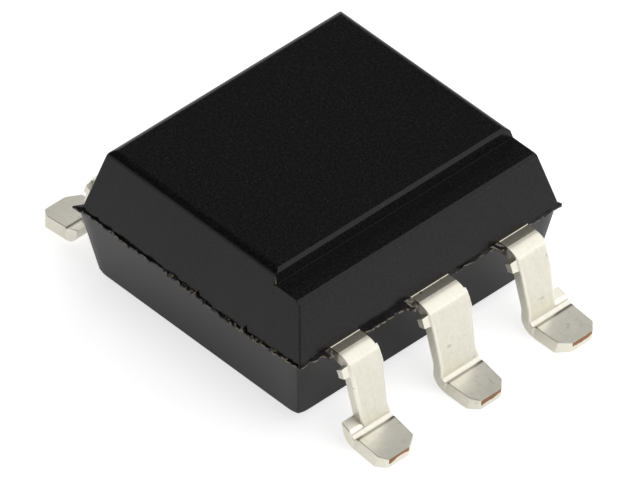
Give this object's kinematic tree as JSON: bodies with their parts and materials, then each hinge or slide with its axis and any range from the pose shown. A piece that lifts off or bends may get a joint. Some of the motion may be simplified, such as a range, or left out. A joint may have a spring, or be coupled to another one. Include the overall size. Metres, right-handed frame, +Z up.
{
  "type": "optocoupler",
  "caption": "Surface-mount optocoupler: black epoxy package with a stepped pin-one edge and gull-wing leads, an infrared emitter facing a phototransistor inside.",
  "frame": {"origin": "on the board, under the middle of the package", "axes": "+X out of the emitter row (leads one to three), +Y along that row from lead one to three, +Z up"},
  "size_m": [0.0102, 0.0072, 0.0036],
  "materials": {
    "body": "fine matt moulded epoxy",
    "light_guide": "clear cast resin",
    "leads": "matt tin plate over copper alloy",
    "led_die": "sawn semiconductor crystal",
    "phototransistor_die": "polished silicon",
    "die_attach": "silver-filled resin",
    "wires": "drawn gold"
  },
  "bodies": {
    "root": {"body": "body", "light_guide": "light_guide", "led_die": "led_die", "phototransistor_die": "phototransistor_die", "led_die_attach": "die_attach", "phototransistor_die_attach": "die_attach", "anode_wire": "wires", "emitter_wire": "wires", "base_wire": "wires", "lead_1": "leads", "lead_2": "leads", "lead_3": "leads", "lead_4": "leads", "lead_5": "leads", "lead_6": "leads"}
  },
  "joints": []
}
